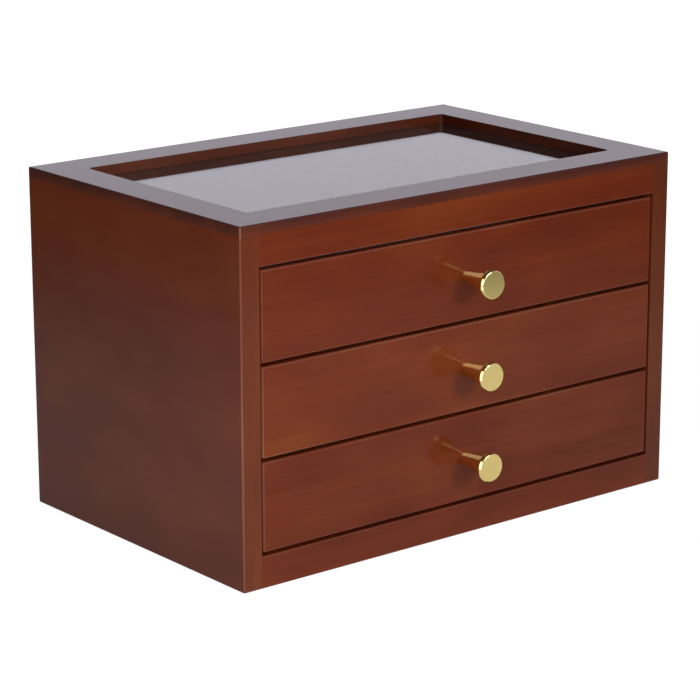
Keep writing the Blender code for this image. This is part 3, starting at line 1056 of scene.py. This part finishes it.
def make_brass():
    material, tree, shader = new_finish("polished_brass", 0.12, metallic=1.0)
    place = add(tree, "ShaderNodeTexCoord").outputs["Object"]
    parts = add(tree, "ShaderNodeSeparateXYZ", {0: place}).outputs
    squares = [multiply(tree, part, part) for part in parts[:2]]
    radius = combine(tree, "SQRT", combine(tree, "ADD", *squares), 0.0)
    turning = combine(tree, "ADD", radius, parts[2])
    settings = {"W": multiply(tree, turning, ring_lumps), "Scale": 1.0, "Detail": 2.0}
    rings = add(tree, "ShaderNodeTexNoise", settings, noise_dimensions="1D").outputs["Fac"]
    cloud = noise(tree, place, cloud_lumps, detail=3.0)
    tree.links.new(blend(tree, cloud, *BRASS_TONES), shader.inputs["Base Color"])
    polish = tuned(tree, cloud, cloud_swing, brass_roughness)
    tree.links.new(polish, shader.inputs["Roughness"])
    raise_relief(tree, shader, rings, strength=0.6, height=ring_relief)
    return material


brass = make_brass()
print("Finish:", brass.name)

# %% [markdown]
# ## The three knobs
#
# A knob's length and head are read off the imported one. The section starts at the
# middle of the flat face, goes over the head's edge, down the neck and in to the
# axis again, where the foot meets the drawer.

# %% Turn the knobs
knob_low, knob_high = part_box("drawer_top_knob")
knob_length = case_front - knob_low.y
knob_head_radius = knob_high.x
head_thickness = 0.0026
face_radius = 0.0070
face_taper = 0.0014
neck_top_radius = 0.0056
neck_base_radius = 0.0036
head_ease = 0.0003
throat_ease = 0.0004
foot_bevel = 0.0003
foot_ease = 0.0001
FACING_FRONT = Matrix.Rotation(math.pi / 2, 4, "X")


def make_knob(drawer):
    low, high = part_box(f"drawer_{drawer}_knob")
    head_foot = knob_length - head_thickness
    profile = ease_corners([
        (0, knob_length, 0),
        (face_radius, knob_length, head_ease),
        (knob_head_radius, knob_length - face_taper, head_ease),
        (knob_head_radius, head_foot, head_ease),
        (neck_top_radius, head_foot - head_ease, throat_ease),
        (neck_base_radius, foot_bevel, foot_ease),
        (neck_base_radius - foot_bevel, 0, 0),
        (0, 0, 0),
    ])
    name = f"finished_drawer_{drawer}_knob"
    mesh = turned_mesh(name, profile)
    place = Matrix.Translation((0, case_front, (low.z + high.z) / 2)) @ FACING_FRONT
    stands_for = [f"drawer_{drawer}_knob"]
    return finish_piece(name, mesh, brass, f"drawer_{drawer}", stands_for, place)


for drawer in drawer_levels:
    make_knob(drawer)
print("Knobs:", len(drawer_levels), "of", round(2000 * knob_head_radius, 1), "mm across")

# %% [markdown]
# ## Screws and dowels
#
# The screws that hold the knobs are zinc-plated steel, and dowels hold the rails.
# Both are hidden in the closed box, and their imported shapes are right, so they
# only get their finish. The plating's fine crystals catch the light unevenly, so
# noise varies its tone and its polish.

# %% Finish the screws and dowels
ZINC_TONES = ((0.46, 0.45, 0.43, 1), (0.62, 0.61, 0.58, 1))
zinc_roughness = 0.36
spangle_lumps = 900.0
spangle_swing = 0.3


def make_zinc():
    material, tree, shader = new_finish("zinc_steel", 0.35, metallic=1.0)
    place = add(tree, "ShaderNodeTexCoord").outputs["Object"]
    spangle = noise(tree, place, spangle_lumps, detail=2.0)
    tree.links.new(blend(tree, spangle, *ZINC_TONES), shader.inputs["Base Color"])
    polish = tuned(tree, spangle, spangle_swing, zinc_roughness)
    tree.links.new(polish, shader.inputs["Roughness"])
    return material


zinc = make_zinc()
for drawer in drawer_levels:
    refinish(f"drawer_{drawer}_knob_screw", zinc)
for height in rails:
    for side in SIDES:
        dowel_wood = wood(f"dowel_wood_{height}_{side}", "x", INNER_STAIN, roughness=0.6, wear_and_highlight=0)
        refinish(f"rail_dowel_{height}_{side}", dowel_wood)
print("Screws:", len(drawer_levels), "and dowels:", len(rails) * len(SIDES))

# %% [markdown]
# ## The felt pads
#
# The pads under the case are dense felt: short turned discs whose edge bulges a
# little, with a woolly surface. They come off the same lathe as the knobs, with
# fewer facets, because they hardly show.

# %% Make the pads
FELT_TONES = ((0.015, 0.014, 0.014, 1), (0.045, 0.042, 0.040, 1))
wool_lumps = 1400.0
wool_relief = 0.0002
pad_face_share = 0.97
pad_ease_share = 0.3
pad_steps = 48


def make_felt():
    material, tree, shader = new_finish("dense_felt", 0.95)
    shader.inputs["Sheen Weight"].default_value = 0.2
    place = add(tree, "ShaderNodeTexCoord").outputs["Object"]
    wool = noise(tree, place, wool_lumps, detail=4.0)
    tree.links.new(blend(tree, wool, *FELT_TONES), shader.inputs["Base Color"])
    raise_relief(tree, shader, wool, strength=0.8, height=wool_relief)
    return material


felt = make_felt()
for end in ("front", "back"):
    for side in SIDES:
        name = f"foot_pad_{end}_{side}"
        low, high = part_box(name)
        thickness = high.z - low.z
        pad_radius = (high.x - low.x) / 2
        face_edge = pad_radius * pad_face_share
        ease = thickness * pad_ease_share
        profile = ease_corners([
            (0, thickness, 0),
            (face_edge, thickness, ease),
            (pad_radius, thickness / 2, ease),
            (face_edge, 0, ease),
            (0, 0, 0),
        ])
        mesh = turned_mesh(f"finished_{name}", profile, pad_steps)
        place = Matrix.Translation(((low.x + high.x) / 2, (low.y + high.y) / 2, low.z))
        finish_piece(f"finished_{name}", mesh, felt, "case", [name], place)
print("Pads:", 4, "each", round(1000 * thickness, 1), "mm thick")

# %% [markdown]
# ## Finish the scene
#
# The dressed box must keep the imported box's size. The last line brings the
# scene up to date.

# %% Finish
bpy.context.view_layer.update()
